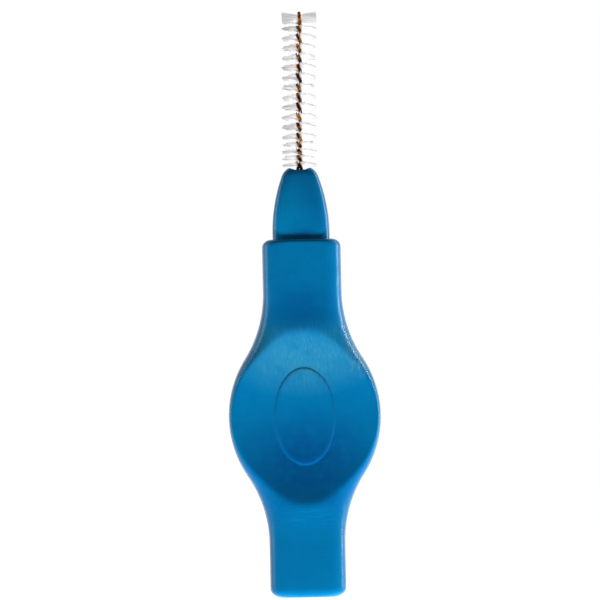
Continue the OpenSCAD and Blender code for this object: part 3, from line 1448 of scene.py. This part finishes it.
@dataclass
class StemWire:
    """One wire folded in half and twisted left-handed, with its loop at the tip."""

    # Wire, and how far a leg's middle stands from the axis
    nose_top: float = 45.1
    wire_d: float = 0.34
    leg_reach: float = 0.1916
    reach_out: float = 16.4
    reach_in: float = 7.0

    # Twist: millimetres a turn, and the first leg's degrees at the nose's tip
    tight_pitch: float = 1.44
    open_pitch: float = 2.08
    tight_height: float = 3.0
    phase: float = 146.0

    # Untwisted stretch under the loop, and the turns made up just below it
    loop_height: float = 0.85
    loop_turns: float = 0.03
    loop_slip: float = 0.35
    slip_height: float = 0.7

    # How far the tip leans to the right
    lean: float = 0.28

    # How finely it is made
    steps_per_turn: int = 26
    loop_steps: int = 14
    tube_steps: int = 4
    weld: float = 0.0001
    sharp_angle: float = 60.0

    @property
    def top(self) -> float:
        """Height at which the two legs run into the end loop."""
        return self.nose_top + self.reach_out - self.wire_d / 2 - self.leg_reach

    def turns(self, z: float) -> float:
        """Give the turns of the twist from the nose's tip up to a height.

        Args:
            z: the height in millimetres.

        Returns:
            The turns, less than none inside the nose.
        """
        if z < self.nose_top:
            return (z - self.nose_top) / self.tight_pitch
        tight = self.nose_top + self.tight_height
        first = self.tight_height / self.tight_pitch
        loop = self.top - self.loop_height
        slip = loop - self.slip_height
        last = first + (loop + self.loop_slip - tight) / self.open_pitch
        return table_value(
            z,
            (
                (self.nose_top, 0),
                (tight, first),
                (slip, first + (slip - tight) / self.open_pitch),
                (loop, last),
                (self.top, last + self.loop_turns),
            ),
        )

    def angle(self, z: float) -> float:
        """Angle of the first leg at a height, in radians."""
        return math.radians(self.phase - 360 * self.turns(z))

    def sway(self, z: float) -> float:
        """Tell how far the axis has swayed to the right.

        Args:
            z: the height above the butt in millimetres.

        Returns:
            The sway there in millimetres.
        """
        share = max(0.0, z - self.nose_top) / self.reach_out
        return self.lean * share * (1 + share) / 2

    def leg(self, z: float, side: int) -> Vector:
        """Give a leg's middle at a height.

        Args:
            z: the height above the butt in millimetres.
            side: 1 for the first leg, -1 for the second.

        Returns:
            The place in millimetres.
        """
        a = self.angle(z)
        out = Vector((side * math.cos(a), side * math.sin(a), 0)) * self.leg_reach
        return out + Vector((self.sway(z), 0, z))

    def path(self) -> list[Vector]:
        """Follow the wire up one leg, over the loop and down the other.

        Returns:
            The points of the wire's middle line in millimetres.
        """
        foot = self.nose_top - self.reach_in
        count = round((self.turns(self.top) - self.turns(foot)) * self.steps_per_turn)
        heights = [foot + (self.top - foot) * i / count for i in range(count + 1)]
        a, sway = self.angle(self.top), self.sway(self.top)
        out = Vector((math.cos(a), math.sin(a), 0)) * self.leg_reach
        loop = []
        for i in range(1, self.loop_steps):
            round_loop = math.pi * i / self.loop_steps
            lift = self.leg_reach * math.sin(round_loop)
            loop.append(out * math.cos(round_loop) + Vector((sway, 0, self.top + lift)))
        up = [self.leg(z, 1) for z in heights]
        return up + loop + [self.leg(z, -1) for z in reversed(heights)]

    def build(self) -> Piece:
        """Build the wire as a swept round tube.

        Returns:
            The finished wire.
        """
        deselect_everything()
        bpy.ops.curve.primitive_nurbs_path_add(radius=MM)
        curve = bpy.context.object
        path = self.path()
        data = curve.data
        data.splines.clear()
        spline = data.splines.new("POLY")
        spline.points.add(len(path) - 1)
        for point, place in zip(spline.points, path):
            point.co = (*(place * MM), 1.0)
        data.dimensions = "3D"
        data.bevel_depth = self.wire_d / 2 * MM
        data.bevel_resolution = self.tube_steps
        data.use_fill_caps = True
        bpy.ops.object.convert(target="MESH")
        wire = settle(bpy.context.object, "stem_wire")
        close_up(wire, self.weld)
        smooth(wire, self.sharp_angle)
        dress(wire, WIRE_COAT)
        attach(wire, "root")
        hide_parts("stem_wire")
        return wire


@dataclass
class Filaments:
    """The nylon filaments that the wire clamps, in four groups up the stem.

    They lie closest where they point sideways and fan out a little towards their tips,
    so each half turn of the wire shows a pale lens on either side.
    """

    stem: StemWire

    # Filaments: the height step where they point sideways, the share of them left
    # where they point to the front, and how much they fan out
    brush_d: float = 3.7
    filament_d: float = 0.034
    first: float = 45.25
    pitch: float = 0.018
    thinnest: float = 0.22
    fan: float = 0.2

    # Denser block at the tip: its height, height step, fan and lift
    block_height: float = 0.9
    block_pitch: float = 0.012
    block_fan: float = 0.15
    block_lift: float = 0.08

    # Patterns, from bent down to bent up by so many degrees, and their round ends
    bend_steps: int = 9
    bend_most: float = 24.0
    facets: int = 5
    cuts: int = 5
    end_inset: float = 0.2
    end_dome: float = 0.012
    sharp_angle: float = 50.0

    # Small differences, in degrees, millimetres and shares of the length
    seed: int = 11
    bend_spread: float = 2.0
    turn_spread: float = 2.5
    tilt_spread: float = 0.8
    height_slip: float = 0.012
    side_slip: float = 0.03
    length_shares: tuple[float, float] = (0.95, 0.985)

    groups: tuple[str, ...] = (
        "bristles_base",
        "bristles_lower",
        "bristles_upper",
        "bristles_tip",
    )

    def pattern(self, bend: float) -> Piece:
        """Make one filament along x, round, with its ends softened and a slight bend.

        Args:
            bend: how far it is bent over its length, in degrees.

        Returns:
            The filament, as a pattern for copies.
        """
        rod = add_cylinder(self.facets, self.filament_d / 2, self.brush_d, Axis.X)
        strand = settle(rod, "strand")
        half = self.brush_d / 2
        with editing(strand, Part.EDGES):
            mesh = bmesh.from_edit_mesh(strand.data)
            for edge in mesh.edges:
                edge.select_set(abs(edge.verts[0].co.x - edge.verts[1].co.x) > MM)
            bmesh.update_edit_mesh(strand.data)
            bpy.ops.mesh.subdivide(number_cuts=self.cuts)
            for way in (-1, 1):
                pick(strand, Part.FACES, lambda p, way=way: p.x * way > half - LEVEL)
                bpy.ops.mesh.inset(thickness=self.filament_d * self.end_inset * MM)
                bpy.ops.transform.translate(value=(way * self.end_dome * MM, 0, 0))
        if bend:
            finish_with(
                strand,
                "SIMPLE_DEFORM",
                deform_method="BEND",
                deform_axis="Y",
                angle=math.radians(bend),
            )
        smooth(strand, self.sharp_angle)
        return strand

    def lean(self, z: float) -> float:
        """Tell how far above the middle of its half turn a height lies.

        Args:
            z: the height above the butt in millimetres.

        Returns:
            The distance in millimetres, less than none below that middle.
        """
        turn = (self.stem.angle(z) + math.pi) % math.pi - math.pi / 2
        step = 0.01
        rate = (self.stem.angle(z + step) - self.stem.angle(z - step)) / (2 * step)
        return turn / rate

    def bend(self, z: float) -> float:
        """Tell how far a filament is bent up at both ends.

        Args:
            z: its height above the butt in millimetres.

        Returns:
            The bend over its whole length in degrees.
        """
        foot = self.stem.top - self.block_height
        if z > foot:
            rise = (z - foot - self.block_height / 2) * self.block_fan + self.block_lift
        else:
            rise = self.lean(z) * self.fan
        return math.degrees(8 * rise / self.brush_d)

    def heights(self) -> list[float]:
        """List the filaments' heights, close where they point sideways and thin between.

        Returns:
            The heights in millimetres, from the nose up.
        """
        z, found = self.first, []
        while z < self.stem.top:
            found.append(z)
            if z > self.stem.top - self.block_height:
                z += self.block_pitch
                continue
            side = math.sin(self.stem.angle(z)) ** 2
            z += self.pitch / (self.thinnest + (1 - self.thinnest) * side)
        return found

    def build_group(
        self,
        name: str,
        heights: Sequence[float],
        patterns: Sequence[Piece],
        dice: random.Random,
    ) -> Piece:
        """Build one group of filaments as copies of the patterns.

        Args:
            name: the CAD node that the group stands for.
            heights: heights of its filaments in millimetres.
            patterns: the patterns, from bent down to bent up.
            dice: the seeded source of small differences.

        Returns:
            The group as one object.
        """
        copies = []
        for z in heights:
            share = (self.bend(z) + dice.gauss(0, self.bend_spread)) / self.bend_most
            step = round((share + 1) / 2 * (len(patterns) - 1))
            source = patterns[max(0, min(len(patterns) - 1, step))]
            copy = bpy.data.objects.new(name, source.data.copy())
            bpy.context.collection.objects.link(copy)
            turn = self.stem.angle(z) + math.pi / 2
            turn += math.radians(dice.gauss(0, self.turn_spread))
            height = z + dice.uniform(-self.height_slip, self.height_slip)
            tilt = math.radians(dice.gauss(0, self.tilt_spread))
            slip = dice.uniform(-self.side_slip, self.side_slip)
            copy.matrix_world = (
                Matrix.Translation((self.stem.sway(z) * MM, 0, height * MM))
                @ Matrix.Rotation(turn, 4, "Z")
                @ Matrix.Rotation(tilt, 4, "Y")
                @ Matrix.Translation((slip * MM, 0, 0))
                @ Matrix.Scale(dice.uniform(*self.length_shares), 4, (1, 0, 0))
            )
            copies.append(copy)
        deselect_everything()
        for copy in copies:
            copy.select_set(True)
        bpy.context.view_layer.objects.active = copies[0]
        bpy.ops.object.join()
        group = settle(bpy.context.object, name)
        dress(group, NYLON)
        group.visible_shadow = False
        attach(group, "root")
        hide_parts(name)
        return group

    def build(self) -> list[Piece]:
        """Build all groups.

        Returns:
            The groups from the nose up.
        """
        dice = random.Random(self.seed)
        last = self.bend_steps - 1
        patterns = [
            self.pattern(self.bend_most * (2 * i / last - 1)) for i in range(self.bend_steps)
        ]
        heights = self.heights()
        share = len(heights) / len(self.groups)
        built = [
            self.build_group(
                name, heights[round(share * k) : round(share * (k + 1))], patterns, dice
            )
            for k, name in enumerate(self.groups)
        ]
        for pattern in patterns:
            discard(pattern)
        return built


# The stage


@dataclass(frozen=True)
class SoftBox:
    """A soft area lamp.

    Attributes:
        name: name of the lamp.
        place: its place in metres.
        size: its width and height in metres.
        watts: its power.
        mirrored: whether it shows in glossy reflections.
        aim: the point in metres that it faces.
    """

    name: str
    place: Triple
    size: tuple[float, float]
    watts: float
    mirrored: bool = True
    aim: Triple = (0, 0, 0.03)

    def light(self) -> None:
        """Add the lamp to the scene."""
        deselect_everything()
        bpy.ops.object.light_add(type="AREA", location=self.place)
        lamp = bpy.context.object
        lamp.name = self.name
        lamp.rotation_euler = (
            (Vector(self.aim) - Vector(self.place)).to_track_quat("-Z", "Y").to_euler()
        )
        lamp.data.shape = "RECTANGLE"
        lamp.data.size, lamp.data.size_y = self.size
        lamp.data.energy = self.watts
        lamp.visible_glossy = self.mirrored


@dataclass
class Studio:
    """Floor, surroundings, lamps and camera."""

    # Camera: picture and its centre in millimetres, distance in metres, roll in degrees
    picture_span: float = 63.0
    centre: tuple[float, float] = (-0.25, 31.2)
    distance: float = 0.9
    roll: float = 1.2
    sensor: float = 36.0
    nearest: float = 0.01

    # Floor in metres, and what floor and surroundings show and give off
    floor_size: float = 0.5
    floor_gap: float = 0.00002
    floor_tone: float = 0.3
    floor_glow: float = 0.955
    dim_light: float = 0.03

    lamps: tuple[SoftBox, ...] = (
        SoftBox("front_key", (0.05, -0.265, -0.51), (0.16, 0.12), 7.2, mirrored=False),
        SoftBox("back_key", (0.03, 0.2, -0.28), (0.14, 0.1), 1.8, mirrored=False),
        SoftBox("right_panel", (0.292, 0.067, 0.08), (0.04, 0.36), 1.15),
        SoftBox("left_panel", (-0.3, 0.03, 0.05), (0.1, 0.3), 0.45),
    )

    def lay_floor(self) -> None:
        """Lay the pale floor that the butt stands on."""
        deselect_everything()
        bpy.ops.mesh.primitive_plane_add(size=self.floor_size, location=(0, 0, -self.floor_gap))
        floor = settle(bpy.context.object, "floor")
        material, sheet = begin_material("pale_floor")
        tone = self.floor_tone
        matt = sheet.add("ShaderNodeBsdfDiffuse", {"Color": (tone, tone, tone, 1.0)})
        strength = sheet.math("MULTIPLY", sheet.seen_directly(), self.floor_glow)
        glow = sheet.add("ShaderNodeEmission", {"Color": WHITE, "Strength": strength})
        layers = {0: matt.outputs["BSDF"], 1: glow.outputs["Emission"]}
        sheet.show(sheet.add("ShaderNodeAddShader", layers).outputs["Shader"])
        floor.data.materials.append(material)
        floor.visible_shadow = False

    def surround(self) -> None:
        """Make the surroundings white to the eye and in gloss, and dim as a light."""
        world = bpy.data.worlds.new("surroundings")
        bpy.context.scene.world = world
        world.use_nodes = True
        sheet = ShaderSheet(world.node_tree)
        strength = sheet.between(sheet.seen_directly(), self.dim_light, 1.0)
        sky = sheet.add("ShaderNodeBackground", {"Color": WHITE, "Strength": strength})
        sheet.show(sky.outputs["Background"], "ShaderNodeOutputWorld")

    def place_camera(self) -> None:
        """Set the camera straight in front, as in the photograph."""
        deselect_everything()
        bpy.ops.object.camera_add(
            location=(self.centre[0] * MM, -self.distance, self.centre[1] * MM),
            rotation=(math.pi / 2, math.radians(self.roll), 0),
        )
        camera = bpy.context.object
        camera.name = "camera"
        camera.data.sensor_width = self.sensor
        camera.data.lens = self.sensor * self.distance / (self.picture_span * MM)
        camera.data.clip_start = self.nearest
        bpy.context.scene.camera = camera

    def build(self) -> None:
        """Build the whole stage."""
        self.lay_floor()
        self.surround()
        for lamp in self.lamps:
            lamp.light()
        self.place_camera()
        bpy.context.scene.view_settings.view_transform = "Standard"


def report(piece: Piece) -> None:
    """Log a piece's name, faces and size.

    Args:
        piece: the finished piece.
    """
    size = [round(v / MM, 2) for v in piece.dimensions]
    LOG.info("%s: %d faces, %s mm", piece.name, len(piece.data.polygons), size)


def main() -> None:
    """Build the dressed brush and its stage."""
    logging.basicConfig(level=logging.INFO, format="%(name)s %(message)s")
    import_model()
    stem = StemWire()
    for maker in (Grip(), Core(), stem):
        report(maker.build())
    for group in Filaments(stem).build():
        report(group)
    Studio().build()


if __name__ == "__main__":
    main()
